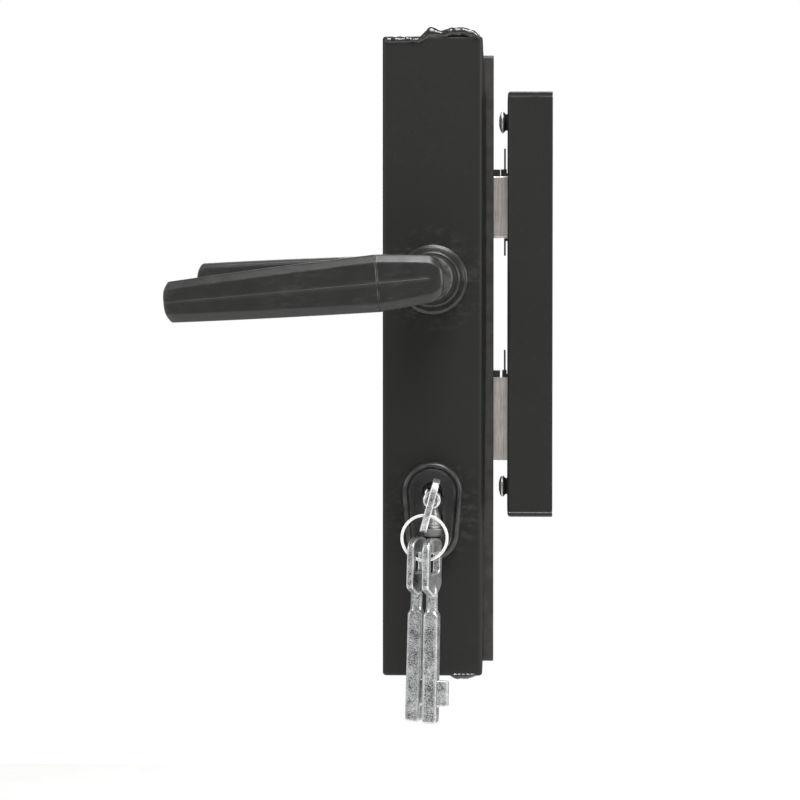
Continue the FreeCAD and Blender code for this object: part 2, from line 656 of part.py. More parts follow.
def make_escutcheon(name, side):
    """Key plate: tapered slot shape with a raised rim, a dished face and the keyhole slot."""
    body = new_body(name + "_body")
    outline = new_sketch(body, name + "_outline", "XZ_Plane", "box_side / 2")
    low = "plate_height - plate_drop"
    draw_slot(outline, "plate_height", low, "plate_radius", "plate_foot")
    blank = pad(body, outline, "plate_thick")
    front = -value("box_side / 2 + plate_thick")
    round_edges(body, blank, "1", lambda edge: abs(edge.CenterOfMass.y - front) < 0.01)
    dish = new_sketch(body, name + "_dish", "XZ_Plane", "box_side / 2 + plate_thick")
    draw_slot(dish, "plate_height", low, "plate_radius - rim_width", "plate_foot - rim_width")
    pocket(body, dish, "dish_depth")
    slot = new_sketch(body, name + "_slot", "XZ_Plane", "box_side / 2 + plate_thick")
    draw_slot(slot, "plate_height", "plate_height - slot_drop + slot_half", "slot_half", "slot_half - 0.01")
    pocket(body, slot, "2 * plate_thick")
    if side > 0:
        body.Placement = Placement(Vector(), Rotation(Z_AXIS, 180))
    node(body, name)


def make_key_guide(name, side):
    """Plated guide behind the keyhole: two cheeks beside the bit's path, on a stepped foot."""
    foot = "lock_height - 12.3"
    start = "-(box_side / 2 - 1)" if side < 0 else "case_thick / 2 + 1.5"
    deep = "(box_side / 2 - case_thick / 2 - 2.5)"
    half = "(slot_half - 0.3)"
    steps = [box(f"{name}_cheeks", (f"-{half}", start, "lock_height - 10"), (f"2 * {half}", deep, "6.3")),
             box(f"{name}_step", (f"-{half} + 0.5", start, "lock_height - 11"), (f"2 * {half} - 1", deep, "1.5")),
             box(f"{name}_foot", (f"-{half}", start, foot), (f"2 * {half}", deep, "1.4"))]
    path = [box(f"{name}_path", ("-bit_thick / 2 - 0.3", "-box_side", "lock_height - bit_reach - 0.4"),
                ("bit_thick + 0.6", "2 * box_side", "bit_reach")),
            cylinder(f"{name}_barrel", ("0", "-box_side", "lock_height"), "barrel_radius + 0.3", "2 * box_side",
                     "y")]
    node(cut(name + "_cut", fuse(name + "_fused", steps), path), name)


def make_ward_block(name, side):
    """Brass block that the key guide stands on, riveted to the case."""
    start = "-(box_side / 2 - 1)" if side < 0 else "case_thick / 2 + 0.05"
    node(box(name + "_block", ("-slot_half + 0.1", start, "lock_height - 15.7"),
             ("2 * slot_half - 0.2", "box_side / 2 - case_thick / 2 - 1.05", "3.3")), name)


# ---- keys and ring --------------------------------------------------------------------------------------

def make_key_blank(name):
    """Pin key hanging from z = 0 down: flat bow with a slot, thin neck, barrel and bit."""
    bow = box(name + "_bow", ("-bow_thick / 2", "-bow_width / 2 + bow_shift", "-bow_length"),
              ("bow_thick", "bow_width", "bow_length"))
    rounded = doc.addObject("Part::Fillet", name + "_bow_rounded")
    rounded.Base = bow
    doc.recompute()
    corners = [(number, 2.5, 2.5) for number, edge in enumerate(bow.Shape.Edges, start=1)
               if runs_along(edge, X_AXIS)]
    rounded.Edges = corners
    hole = box(name + "_bow_hole", ("-bow_thick", "bow_shift - bow_hole / 2", "-bow_hole_top - bow_hole_length"),
               ("2 * bow_thick", "bow_hole", "bow_hole_length"))
    stem = [cylinder(name + "_neck", ("0", "0", "-barrel_start"), "neck_thin", "barrel_start - bow_length + 3", "z"),
            cone(name + "_shoulder", ("0", "0", "-barrel_start"), "barrel_radius", "neck_thin",
                 "barrel_start - neck_end", "z"),
            cylinder(name + "_barrel", ("0", "0", "-key_length + 0.8"), "barrel_radius",
                     "key_length - barrel_start - 0.8", "z"),
            cone(name + "_tip", ("0", "0", "-key_length"), "barrel_radius - 0.8", "barrel_radius", "0.8", "z"),
            box(name + "_bit", ("0", "-bit_thick / 2", "-bit_bottom"),
                ("bit_reach", "bit_thick", "bit_bottom - bit_top"))]
    return fuse(name + "_fused", [cut(name + "_bow_cut", rounded, [hole])] + stem)


def make_keys():
    """The key in the lock, and two spare keys that hang on its ring."""
    lock_key = make_key_blank("lock_key")
    seat = Rotation(Y_AXIS, -value("key_tilt")).inverted()
    lock_key.Placement = Placement(Vector(), seat.multiply(Rotation(X_AXIS, 90)))
    place(lock_key, ("0", "-(box_side / 2 + key_stand)", "lock_height"))
    node(lock_key, "lock_key")
    depth = "-(box_side / 2 + ring_stand)"
    for name, aside, back, lean in (("left_spare_key", "left_aside", "left_back", "left_lean"),
                                    ("right_spare_key", "right_aside", "0", "right_lean")):
        turned = place(make_key_blank(name), ("0", "0", "0"), Z_AXIS, "-spare_turn")
        hung = place(group(name + "_hung", [turned]), (aside, f"{depth} + {back}", "lock_height - spare_rise"),
                     Y_AXIS, lean)
        node(hung, name)


def make_ring():
    """Wire ring through the bows, standing in the XZ plane."""
    ring = doc.addObject("Part::Torus", "ring_wire")
    bind(ring, Radius1="ring_radius", Radius2="ring_wire")
    node(place(ring, ("ring_aside", "-(box_side / 2 + ring_stand)", "lock_height - ring_drop"), X_AXIS, "90"),
         "key_ring")


# ---- keep -----------------------------------------------------------------------------------------------

KEEP_LEFT = "(box_side / 2 + forend_thick + keep_gap)"


def keep_screw_heights():
    return ("keep_bottom + keep_screw_inset", "keep_bottom + keep_height - keep_screw_inset")


def make_keep_channel():
    """Folded channel that stands on the post, with a lap flange over the post's front."""
    body = new_body("keep_body")
    section = new_sketch(body, "keep_section", "XY_Plane", "keep_bottom + keep_wall")
    flange = f"{KEEP_LEFT} + keep_depth + keep_flange"
    draw_polygon(section, [
        (KEEP_LEFT, "-keep_front"), (flange, "-keep_front"), (flange, "-keep_front + keep_wall"),
        (f"{KEEP_LEFT} + keep_wall", "-keep_front + keep_wall"), (f"{KEEP_LEFT} + keep_wall", "keep_back - keep_wall"),
        (f"{KEEP_LEFT} + keep_depth", "keep_back - keep_wall"), (f"{KEEP_LEFT} + keep_depth", "keep_back"),
        (KEEP_LEFT, "keep_back")])
    blank = pad(body, section, "keep_height - 2 * keep_wall")
    left = value(KEEP_LEFT)
    round_edges(body, blank, "keep_wall * 0.8", lambda edge: runs_along(edge, Z_AXIS) and
                abs(edge.CenterOfMass.x - left) < 0.01)
    holes = bolt_windows("keep_window", f"{KEEP_LEFT} - 1", "keep_wall + 2", "1.2")
    for index, height in enumerate(keep_screw_heights()):
        holes.append(cylinder(f"keep_hole_{index}", (f"{KEEP_LEFT} - 1", "0", height),
                              "screw_radius + screw_play", "keep_wall + 2", "x"))
    node(cut("keep_cut", body, holes), "keep_channel")


def make_keep_plate(name, bottom, outward):
    """End plate of the keep and its flange, rounded where it meets the channel's face."""
    body = new_body(name + "_body")
    outline = new_sketch(body, name + "_outline", "XY_Plane", bottom)
    inner, outer = f"{KEEP_LEFT} + keep_depth", f"{KEEP_LEFT} + keep_depth + keep_flange"
    draw_polygon(outline, [
        (KEEP_LEFT, "-keep_front"), (outer, "-keep_front"), (outer, "-keep_front + keep_wall"),
        (inner, "-keep_front + keep_wall"), (inner, "keep_back"), (KEEP_LEFT, "keep_back")])
    blank = pad(body, outline, "keep_wall")
    left = value(KEEP_LEFT)
    level = value(bottom) + (value("keep_wall") if outward > 0 else 0)
    round_edges(body, blank, "keep_wall * 0.7", lambda edge: runs_along(edge, Y_AXIS) and
                abs(edge.CenterOfMass.x - left) < 0.01 and abs(edge.CenterOfMass.z - level) < 0.01)
    node(body, name)


def make_keep_fasteners():
    """Pan-head screws on conical washers, through the keep's face."""
    screws, washers = [], []
    for index, height in enumerate(keep_screw_heights()):
        seat = f"{KEEP_LEFT} - washer_height"
        head = doc.addObject("Part::Sphere", f"pan_dome_{index}")
        bind(head, Radius="(pan_radius * pan_radius + pan_height * pan_height) / (2 * pan_height)")
        place(head, (f"{seat} - pan_height + (pan_radius * pan_radius + pan_height * pan_height)"
                     " / (2 * pan_height)", "0", height))
        keep_side = box(f"pan_room_{index}", (f"{seat} - pan_height - 1", "-10", f"{height} - 10"),
                        ("pan_height + 1", "20", "20"))
        dome = doc.addObject("Part::Common", f"pan_{index}")
        dome.Base = head
        dome.Tool = keep_side
        shank = cylinder(f"pan_shank_{index}", (f"{seat} - 0.2", "0", height), "screw_radius",
                         "washer_height + keep_depth", "x")
        slots = [box(f"pan_driver_{index}_{turn}", (f"{seat} - pan_height - 0.5", y, z), ("1.5", wide, tall))
                 for turn, (y, z, wide, tall) in enumerate((
                     ("-2", f"{height} - 0.4", "4", "0.8"), ("-0.4", f"{height} - 2", "0.8", "4")))]
        screws.append(cut(f"pan_screw_{index}", fuse(f"pan_screw_blank_{index}", [dome, shank]), slots))
        ring = cone(f"washer_blank_{index}", (seat, "0", height), "washer_radius", "washer_radius - 1.4",
                    "washer_height", "x")
        bore = cylinder(f"washer_bore_{index}", (f"{seat} - 1", "0", height), "screw_radius + screw_play",
                        "washer_height + 2", "x")
        washers.append(cut(f"washer_{index}", ring, [bore]))
    node(group("keep_screw_set", screws), "keep_screws")
    node(group("keep_washer_set", washers), "keep_washers")


def make_strike(name, kind, lip, above, below):
    """Folded strike insert: a lip above the bolt, with thin tabs that stand off the keep's face."""
    top = f"{kind}_bottom + {kind}_height"
    tab = "0.7"
    face = f"{KEEP_LEFT} - 1.4"
    parts = [box(name + "_lip", (f"{KEEP_LEFT} - {lip}", "-5", f"{top} + 0.2"), (f"{lip} + keep_wall", "10", "1")),
             box(name + "_nose", (f"{KEEP_LEFT} - {lip}", "-5", f"{top} + 0.2"), (f"{lip} - 0.3", "10", "guide_thick")),
             box(name + "_upper_tab", (face, "-5", f"{top} + 0.2"), (tab, "10", above))]
    if below != "0":
        parts += [box(name + "_sill", (face, "-5", f"{kind}_bottom - 1.2"), ("1.4 + keep_wall", "10", "1")),
                  box(name + "_lower_tab", (face, "-5", f"{kind}_bottom - 0.2 - {below}"), (tab, "10", below))]
        node(group(name + "_pair", [fuse(name + "_upper", parts[:3]), fuse(name + "_lower", parts[3:])]), name)
    else:
        node(fuse(name + "_fused", parts), name)


# ---- the whole object -----------------------------------------------------------------------------------

def build():
    make_lock_box()
    make_cap("bottom_cap", "0")
    make_cap("top_cap", "box_height - cap_thick")
    make_beads()
    make_case()
    make_case_cover()
    make_case_screws()
    make_forend()
    make_forend_screws()
    make_bolt_guide("latch_guide", "latch")
    make_bolt_guide("bolt_guide", "dead")
    make_latch()
    make_dead_bolt()
    make_tumblers()
    make_follower()
    make_springs()
    for place_name, side in (("front", -1), ("rear", 1)):
        make_lever(place_name + "_lever", side, place_name + "_droop")
        make_rosette(place_name + "_rosette", side)
        make_bush(place_name + "_bush", side)
        make_escutcheon(place_name + "_escutcheon", side)
        make_key_guide(place_name + "_key_guide", side)
        make_ward_block(place_name + "_ward_block", side)
    make_spindle()
    make_grub_screws()
    make_keys()
    make_ring()
    make_keep_channel()
    make_keep_plate("keep_bottom_plate", "keep_bottom", -1)
    make_keep_plate("keep_top_plate", "keep_bottom + keep_height - keep_wall", 1)
    make_keep_fasteners()
    make_strike("latch_strike", "latch", "(keep_gap - guide_thick - 0.3)", "11", "7")
    make_strike("bolt_strike", "dead", "2.1", "10.8", "0")


def check_and_write():
    """Stops on any failed object, then writes one STEP file for each node."""
    doc.recompute()
    for item in doc.Objects:
        if "Invalid" in item.State or "Error" in item.State:
            raise ValueError(f"{item.Name} failed: {item.State}")
    os.makedirs("parts", exist_ok=True)
    for item in NODES:
        if item.Shape.isNull() or not item.Shape.isValid():
            raise ValueError(f"{item.Label} has no valid shape")
        item.Shape.exportStep(f"parts/{item.Label}.step")
        print(f"{item.Label}: {item.Shape.Volume:.1f} mm3, {len(item.Shape.Solids)} solids")
    print(len(NODES), "nodes")


build()
check_and_write()
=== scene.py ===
"""Looks of the weld-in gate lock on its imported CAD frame, in millimetres; the stage is in metres."""
import json
import math

import bmesh
import bpy
from mathutils import Matrix, Vector, noise


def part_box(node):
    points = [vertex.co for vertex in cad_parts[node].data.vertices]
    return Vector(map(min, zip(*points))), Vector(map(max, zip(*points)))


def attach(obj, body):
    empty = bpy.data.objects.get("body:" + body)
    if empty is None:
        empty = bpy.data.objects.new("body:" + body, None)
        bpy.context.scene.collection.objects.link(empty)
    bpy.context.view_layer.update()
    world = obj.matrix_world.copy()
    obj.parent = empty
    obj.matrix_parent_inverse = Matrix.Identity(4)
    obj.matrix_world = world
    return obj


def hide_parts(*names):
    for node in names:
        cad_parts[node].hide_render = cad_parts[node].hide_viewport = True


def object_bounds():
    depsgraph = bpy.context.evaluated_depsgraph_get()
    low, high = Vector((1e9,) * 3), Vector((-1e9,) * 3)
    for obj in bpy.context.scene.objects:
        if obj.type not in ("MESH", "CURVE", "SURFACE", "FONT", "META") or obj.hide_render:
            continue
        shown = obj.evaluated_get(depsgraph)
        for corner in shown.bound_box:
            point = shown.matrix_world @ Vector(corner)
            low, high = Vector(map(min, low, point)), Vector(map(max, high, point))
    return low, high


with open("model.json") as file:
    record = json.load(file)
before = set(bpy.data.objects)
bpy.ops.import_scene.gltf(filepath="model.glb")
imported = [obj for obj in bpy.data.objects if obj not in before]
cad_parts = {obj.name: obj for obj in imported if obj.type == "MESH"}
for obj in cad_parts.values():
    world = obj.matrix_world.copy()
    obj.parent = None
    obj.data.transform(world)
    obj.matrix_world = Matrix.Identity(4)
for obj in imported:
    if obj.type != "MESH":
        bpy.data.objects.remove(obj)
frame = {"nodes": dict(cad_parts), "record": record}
cad_low, cad_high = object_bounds()
MM = 0.001
X_AXIS, Y_AXIS, Z_AXIS = Vector((1, 0, 0)), Vector((0, 1, 0)), Vector((0, 0, 1))
RECORD = frame["record"]
SLOT_OF = {part["node"]: part["material_slot"] for part in RECORD["subparts"]}
BODY_OF = {node: body for body, nodes in RECORD["behaviour"]["bodies"].items() for node in nodes}


def corners(node):
    """Lowest and highest corner of a CAD node, in millimetres."""
    low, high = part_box(node)
    return low / MM, high / MM


def middle(node):
    low, high = corners(node)
    return (low + high) / 2


# ---- materials ------------------------------------------------------------------------------------------

RUBBED_NEAR, RUBBED_FAR = 13, 24
DUST = (0.105, 0.103, 0.097)
# Near-white colour mixed onto sharp metal edges: a painted highlight.
EDGE_HIGHLIGHT = (0.95, 0.95, 0.94)


class Nodes:
    """Short way to write a material's nodes."""

    def __init__(self, name):
        self.material = bpy.data.materials.new(name)
        self.material.use_nodes = True
        self.tree = self.material.node_tree
        self.shader = self.tree.nodes["Principled BSDF"]
        self.place = self.tree.nodes.new("ShaderNodeTexCoord").outputs["Object"]

    def link(self, source, target):
        if isinstance(source, (int, float)):
            target.default_value = source
        elif isinstance(source, tuple):
            target.default_value = (*source, 1)
        else:
            self.tree.links.new(source, target)

    def stretched(self, stretch):
        node = self.tree.nodes.new("ShaderNodeMapping")
        node.inputs["Scale"].default_value = stretch
        self.link(self.place, node.inputs["Vector"])
        return node.outputs["Vector"]

    def grain(self, size, detail=3.0, stretch=(1, 1, 1), roughness=0.55):
        """Noise with features of about that many millimetres."""
        node = self.tree.nodes.new("ShaderNodeTexNoise")
        node.inputs["Scale"].default_value = 1 / (size * MM)
        node.inputs["Detail"].default_value = detail
        node.inputs["Roughness"].default_value = roughness
        self.link(self.stretched(stretch), node.inputs["Vector"])
        return node.outputs["Fac"]

    def specks(self, spacing, size):
        """Sparse dots: 1 on a dot and 0 elsewhere."""
        node = self.tree.nodes.new("ShaderNodeTexVoronoi")
        node.inputs["Scale"].default_value = 1 / (spacing * MM)
        self.link(self.place, node.inputs["Vector"])
        return self.span(node.outputs["Distance"], size, size * 0.55, 0, 1)

    def span(self, source, low, high, to_low, to_high):
        node = self.tree.nodes.new("ShaderNodeMapRange")
        for key, value in (("Value", source), ("From Min", low), ("From Max", high),
                           ("To Min", to_low), ("To Max", to_high)):
            self.link(value, node.inputs[key])
        return node.outputs["Result"]

    def math(self, kind, first, second):
        node = self.tree.nodes.new("ShaderNodeMath")
        node.operation = kind
        self.link(first, node.inputs[0])
        self.link(second, node.inputs[1])
        return node.outputs[0]

    def mix(self, share, first, second):
        node = self.tree.nodes.new("ShaderNodeMix")
        node.data_type = "RGBA"
        self.link(share, node.inputs["Factor"])
        self.link(first, node.inputs["A"])
        self.link(second, node.inputs["B"])
        return node.outputs["Result"]

    def near_fittings(self):
        """1 close to the front rosette and key plate, 0 far from both: hands rub the paint there."""
        shares = []
        for node in ("front_rosette", "front_escutcheon"):
            gap = self.tree.nodes.new("ShaderNodeVectorMath")
            gap.operation = "DISTANCE"
            self.link(self.place, gap.inputs[0])
            gap.inputs[1].default_value = middle(node) * MM
            shares.append(self.span(gap.outputs["Value"], RUBBED_FAR * MM, RUBBED_NEAR * MM, 0, 1))
        return self.math("MAXIMUM", *shares)

    def edge(self):
        """How sharp the surface is here, from mark_edges."""
        node = self.tree.nodes.new("ShaderNodeAttribute")
        node.attribute_name = "edge"
        return node.outputs["Fac"]

    def bump(self, height, depth, under=None):
        node = self.tree.nodes.new("ShaderNodeBump")
        node.inputs["Distance"].default_value = depth * MM
        self.link(height, node.inputs["Height"])
        if under is not None:
            self.link(under, node.inputs["Normal"])
        return node.outputs["Normal"]

    def finish(self, colour, roughness, normal, metallic=0.0, **constants):
        self.link(colour, self.shader.inputs["Base Color"])
        self.link(roughness, self.shader.inputs["Roughness"])
        self.link(normal, self.shader.inputs["Normal"])
        self.shader.inputs["Metallic"].default_value = metallic
        for key, value in constants.items():
            self.shader.inputs[key.replace("_", " ")].default_value = value
        return self.material


def painted(name, dark, light, dust, rough, peel, specular):
    """Black paint: uneven colour, dusty smudges, fine specks, orange peel and lighter worn edges."""
    n = Nodes(name)
    body = n.mix(n.grain(30, 2, (1, 1, 0.35)), dark, light)
    smudge = n.math("MULTIPLY", n.span(n.grain(3.2, 6), 0.5, 0.8, 0, 1),
                    n.span(n.grain(45, 1), 0.45, 0.7, 0, 0.05))
    near = n.math("MULTIPLY", n.near_fittings(),
                  n.span(n.grain(2.4, 6, (0.5, 1, 1), 0.7), 0.5, 0.72, 0, 0.45))
    dusty = n.mix(n.math("ADD", smudge, near), body, dust)
    speckled = n.mix(n.math("MULTIPLY", n.specks(3.1, 0.06), 0.5), dusty, dust)
    worn = n.math("MULTIPLY", n.edge(), n.span(n.grain(5, 4), 0.35, 0.6, 0.1, 0.55))
    colour = n.mix(worn, speckled, dust)
    roughness = n.span(n.grain(16, 3), 0.3, 0.7, rough - 0.02, rough + 0.02)
    fine = n.bump(n.grain(0.5, 2), peel * 0.35)
    normal = n.bump(n.grain(1.6, 2), peel, fine)
    return n.finish(colour, roughness, normal, Specular_IOR_Level=specular)


def moulded(name, dark, light, dust, rough, specular, wear=0.8):
    """Black moulded plastic or nylon: satin, faintly mottled, with scuffed edges."""
    n = Nodes(name)
    body = n.mix(n.grain(14, 3), dark, light)
    scuffs = n.math("MULTIPLY", n.span(n.grain(1.6, 6, (0.35, 1, 1), 0.7), 0.52, 0.74, 0, 1),
                    n.span(n.grain(22, 1), 0.4, 0.65, 0.03, 0.2))
    scuffed = n.mix(scuffs, body, dust)
    worn = n.math("MULTIPLY", n.edge(), n.span(n.grain(4, 4), 0.35, 0.65, 0.0, wear))
    colour = n.mix(worn, scuffed, dust)
    roughness = n.span(n.grain(6, 4), 0.3, 0.7, rough - 0.05, rough + 0.07)
    normal = n.bump(n.grain(0.28, 3), 0.006, n.bump(n.grain(3, 2), 0.02))
    return n.finish(colour, roughness, normal, Specular_IOR_Level=specular)


def cast_metal(name, dark, light, rough, lump, grain_size, brushed=(1, 1, 1), contrast=0.5, metallic=1.0,
               edge_highlight=0.7):
    """Bare metal with grain: cast zinc, plated steel, or steel brushed along one direction; its sharp edges
    are mixed towards near-white as a painted highlight.
    """
    n = Nodes(name)
    grain = n.grain(grain_size, 5, brushed, 0.7)
    cloud = n.grain(grain_size * 9, 3)
    spread = 0.3 * (1 - contrast) + 0.07
    blend = n.span(n.math("ADD", n.math("MULTIPLY", grain, 0.75), n.math("MULTIPLY", cloud, 0.25)),
                   0.5 - spread, 0.5 + spread, 0, 1)
    body = n.mix(blend, dark, light)
    # Sharp edges mixed towards near-white: painted edge highlights.
    colour = n.mix(n.math("MULTIPLY", n.edge(), edge_highlight), body, EDGE_HIGHLIGHT)
    roughness = n.span(grain, 0.3, 0.7, rough + 0.08, rough - 0.08)
    normal = n.bump(grain, lump, n.bump(n.grain(grain_size * 5, 2), lump * 2))
    return n.finish(colour, roughness, normal, metallic)


WET_PAINT = painted("wet_paint", (0.0105, 0.0103, 0.0098), (0.0125, 0.0122, 0.0115), (0.05, 0.05, 0.05),
                    rough=0.2, peel=0.03, specular=0.7)
MATERIALS = {
    "powder_coat": painted("powder_coat", (0.0138, 0.0135, 0.0128), (0.0152, 0.0149, 0.0139), DUST,
                           rough=0.46, peel=0.012, specular=0.22),
    "black_paint": painted("black_paint", (0.0240, 0.0226, 0.0205), (0.0275, 0.0262, 0.0240), DUST,
                           rough=0.4, peel=0.012, specular=0.3),
    "black_plastic": moulded("black_plastic", (0.0125, 0.0125, 0.012), (0.017, 0.0168, 0.0162),
                             (0.15, 0.148, 0.142), rough=0.3, specular=0.5, wear=0.35),
    "lever_nylon": moulded("lever_nylon", (0.0098, 0.0097, 0.0092), (0.0130, 0.0128, 0.0121),
                           (0.15, 0.148, 0.14), rough=0.36, specular=0.45),
    "case_steel": cast_metal("case_steel", (0.26, 0.26, 0.25), (0.46, 0.46, 0.44), rough=0.42, lump=0.01,
                             grain_size=0.8),
    "zinc_screw": cast_metal("zinc_screw", (0.50, 0.50, 0.49), (0.86, 0.86, 0.84), rough=0.3, lump=0.006,
                             grain_size=0.5, metallic=0.55),
    "bolt_nickel": cast_metal("bolt_nickel", (0.50, 0.46, 0.425), (0.90, 0.85, 0.80), rough=0.36, lump=0.008,
                              grain_size=0.6, brushed=(1, 1, 0.06), contrast=0.7, metallic=0.85),
    "spring_steel": cast_metal("spring_steel", (0.3, 0.3, 0.31), (0.55, 0.55, 0.56), rough=0.3, lump=0.003,
                               grain_size=0.4),
    "bright_plate": cast_metal("bright_plate", (0.72, 0.72, 0.69), (0.95, 0.95, 0.92), rough=0.2, lump=0.004,
                               grain_size=0.6, metallic=0.25),
    "ward_brass": cast_metal("ward_brass", (0.06, 0.056, 0.038), (0.13, 0.122, 0.088), rough=0.42, lump=0.01,
                             grain_size=0.6, metallic=0.6),
    "key_zinc": cast_metal("key_zinc", (0.03, 0.034, 0.038), (0.66, 0.68, 0.68), rough=0.34, lump=0.05,
                           grain_size=0.42, contrast=0.95, metallic=0.85, edge_highlight=0.6),
    "ring_steel": cast_metal("ring_steel", (0.82, 0.82, 0.80), (0.97, 0.97, 0.95), rough=0.22, lump=0.004,
                             grain_size=0.8, metallic=0.3),
}


# ---- shapes ---------------------------------------------------------------------------------------------

POINT_RADIUS = 0.01
# Scales the edge value that drives the worn edges of paint and plastic and the painted highlights on metal
# edges.
WEAR_AND_GLINT_PER_BEND = 0.19
BROAD_FACE, EDGE_BAND = 30, 0.3


def rounded(points, steps=5):
    """Closed outline through (x, y, radius) corners, each rounded to its radius."""
    outline = []
    for index, (x, y, radius) in enumerate(points):
        corner = Vector((x, y))
        if radius <= 0:
            outline.append(corner)
            continue
        before = Vector(points[index - 1][:2]) - corner
        after = Vector(points[(index + 1) % len(points)][:2]) - corner
        half = before.angle(after) / 2
        back = min(radius / math.tan(half), before.length * 0.49, after.length * 0.49)
        start, end = corner + before.normalized() * back, corner + after.normalized() * back
        for step in range(steps + 1):
            t = step / steps
            outline.append(start * (1 - t) ** 2 + corner * 2 * t * (1 - t) + end * t ** 2)
    return outline


def denser(outline, parts=4):
    """The same closed outline with every stretch cut into equal parts."""
    finer = []
    for index, start in enumerate(outline):
        end = outline[(index + 1) % len(outline)]
        finer += [start.lerp(end, step / parts) for step in range(parts)]
    return finer


def loft(rings, loop=False):
    """Closed mesh through rings of points with equal counts, capped, or run on to the first ring."""
    bm = bmesh.new()
    loops = [[bm.verts.new(Vector(point) * MM) for point in ring] for ring in rings]
    pairs = list(zip(loops, loops[1:])) + ([(loops[-1], loops[0])] if loop else [])
    for first, second in pairs:
        for index in range(len(first)):
            after = (index + 1) % len(first)
            bm.faces.new((first[index], first[after], second[after], second[index]))
    if not loop:
        bm.faces.new(list(reversed(loops[0])))
        bm.faces.new(loops[-1])
    bmesh.ops.recalc_face_normals(bm, faces=bm.faces)
    return bm


def lathe(profile, origin, axis, steps=96, closed=False):
    """Body turned about an axis, from (distance along it, radius) points."""
    turn = axis.to_track_quat("Z", "Y").to_matrix()
    angles = [2 * math.pi * step / steps for step in range(steps)]
    rings = []
    for along, radius in profile:
        wide = max(radius, POINT_RADIUS)
        rings.append([origin + turn @ Vector((wide * math.cos(angle), wide * math.sin(angle), along))
                      for angle in angles])
    return loft(rings, loop=closed)


def mark_edges(mesh, blunt):
    """Writes how sharply each point's faces turn outwards, beyond the blunt angle, for the worn edges of
    paint and plastic and the painted edge highlights on metal.
    """
    bm = bmesh.new()
    bm.from_mesh(mesh)
    bm.normal_update()
    layer = bm.verts.layers.float.new("edge")
    for vert in bm.verts:
        bend = 0.0
        for edge in vert.link_edges:
            if edge.is_manifold:
                bend = max(bend, edge.calc_face_angle_signed(0))
        vert[layer] = min(1.0, max(0.0, bend - blunt) * WEAR_AND_GLINT_PER_BEND / blunt)
    bm.to_mesh(mesh)
    bm.free()


def piece(name, bm, node, smooth=38, paint=None, blunt=0.12):
    """A finished piece that stands for a CAD node, on the node's body and in its material."""
    mesh = bpy.data.meshes.new(name)
    bm.to_mesh(mesh)
    bm.free()
    mark_edges(mesh, blunt)
    mesh.shade_smooth()
    mesh.set_sharp_from_angle(angle=math.radians(smooth))
    made = bpy.data.objects.new(name, mesh)
    bpy.context.scene.collection.objects.link(made)
    mesh.materials.clear()
    mesh.materials.append(paint or MATERIALS[SLOT_OF[node]])
    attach(made, BODY_OF[node])
    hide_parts(node)
    return made


def even_shading(made):
    """Keeps flat faces evenly shaded up to their rounded edges."""
    modifier = made.modifiers.new("even_shading", "WEIGHTED_NORMAL")
    modifier.keep_sharp = True


def from_node(node):
    """The CAD node's own shape with whole flat faces."""
    bm = bmesh.new()
    bm.from_mesh(frame["nodes"][node].data)
    bmesh.ops.remove_doubles(bm, verts=bm.verts, dist=0.002 * MM)
    bmesh.ops.dissolve_limit(bm, angle_limit=math.radians(0.5), verts=bm.verts, edges=bm.edges)
    return bm


def soften(bm, width, segments=2, angle=40, wanted=lambda edge: True):
    """Rounds the sharp edges that are wanted, and keeps their wear and painted edge highlights off the broad
    faces by a narrow band.
    """
    sharp = [edge for edge in bm.edges
             if edge.is_manifold and edge.calc_face_angle(0) > math.radians(angle) and wanted(edge)]
    bmesh.ops.bevel(bm, geom=sharp, offset=width * MM, segments=segments, profile=0.5, affect="EDGES",
                    clamp_overlap=True)
    broad = [face for face in bm.faces if face.calc_area() > BROAD_FACE * MM * MM]
    bmesh.ops.inset_region(bm, faces=broad, thickness=EDGE_BAND * MM, use_boundary=True,
                           use_even_offset=True)
    return bm


def evaluated(bm, *modifiers):
    """The mesh after modifiers given as (kind, {settings})."""
    mesh = bpy.data.meshes.new("raw")
    bm.to_mesh(mesh)
    bm.free()
    carrier = bpy.data.objects.new("carrier", mesh)
    bpy.context.scene.collection.objects.link(carrier)
    for kind, settings in modifiers:
        modifier = carrier.modifiers.new(kind.lower(), kind)
        for key, value in settings.items():
            setattr(modifier, key, value)
    shown = carrier.evaluated_get(bpy.context.evaluated_depsgraph_get())
    made = bpy.data.meshes.new_from_object(shown)
    bpy.data.objects.remove(carrier)
    bpy.data.meshes.remove(mesh)
    return made


def joined(*parts):
    """One bmesh from several."""
    whole = bmesh.new()
    for part in parts:
        mesh = bpy.data.meshes.new("part")
        part.to_mesh(mesh)
        part.free()
        whole.from_mesh(mesh)
        bpy.data.meshes.remove(mesh)
    return whole


def shake(bm, size, depth):
    """Moves the points in and out along their normals by smooth noise."""
    bm.normal_update()
    for vert in bm.verts:
        vert.co += vert.normal * (noise.noise(vert.co / (size * MM)) * depth * MM)
    return bm


# ---- lever handles --------------------------------------------------------------------------------------

LEVER_Z = middle("front_bush").z
FACE = corners("lock_box")[1].y
GRIP_OUT = 47.0
HEEL, WAIST, TIP = 5.2, -20.0, -102.5
SIZES = ((HEEL, 8.5, 7.4), (WAIST, 11.1, 7.9), (TIP, 7.9, 6.4))


def grip_size(x):
    """Half the height and half the depth of the grip at x."""
    (x_1, tall_1, deep_1), (x_2, tall_2, deep_2) = SIZES[:2] if x > WAIST else SIZES[1:]
    t = (x - x_1) / (x_2 - x_1)
    crown = 0.2 * math.sin(math.pi * t)
    return tall_1 + (tall_2 - tall_1) * t + crown, deep_1 + (deep_2 - deep_1) * t


